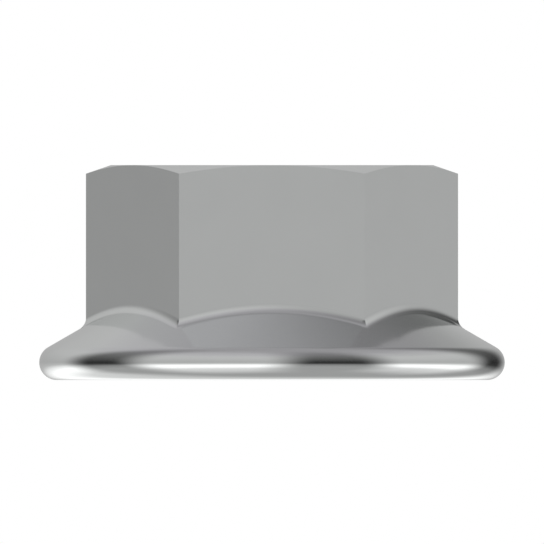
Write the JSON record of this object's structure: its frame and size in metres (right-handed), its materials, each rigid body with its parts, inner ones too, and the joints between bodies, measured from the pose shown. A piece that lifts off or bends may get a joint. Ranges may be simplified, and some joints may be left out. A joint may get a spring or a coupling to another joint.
{
  "type": "serrated hexagon flange nut",
  "caption": "Hexagon nut with a wide sloped flange whose bearing face carries a ring of ratchet teeth around a threaded through hole.",
  "frame": {"origin": "on the nut's axis, in the plane of its bearing face, which is the underside of the flange", "axes": "+Z along the thread's axis, from the bearing face towards the hexagon's top; two corners of the hexagon lie over the X axis, and two flats face along Y"},
  "size_m": [0.026, 0.026, 0.012],
  "materials": {
    "steel": "satin bright steel"
  },
  "bodies": {
    "root": {"flange_nut": "steel"}
  },
  "joints": []
}
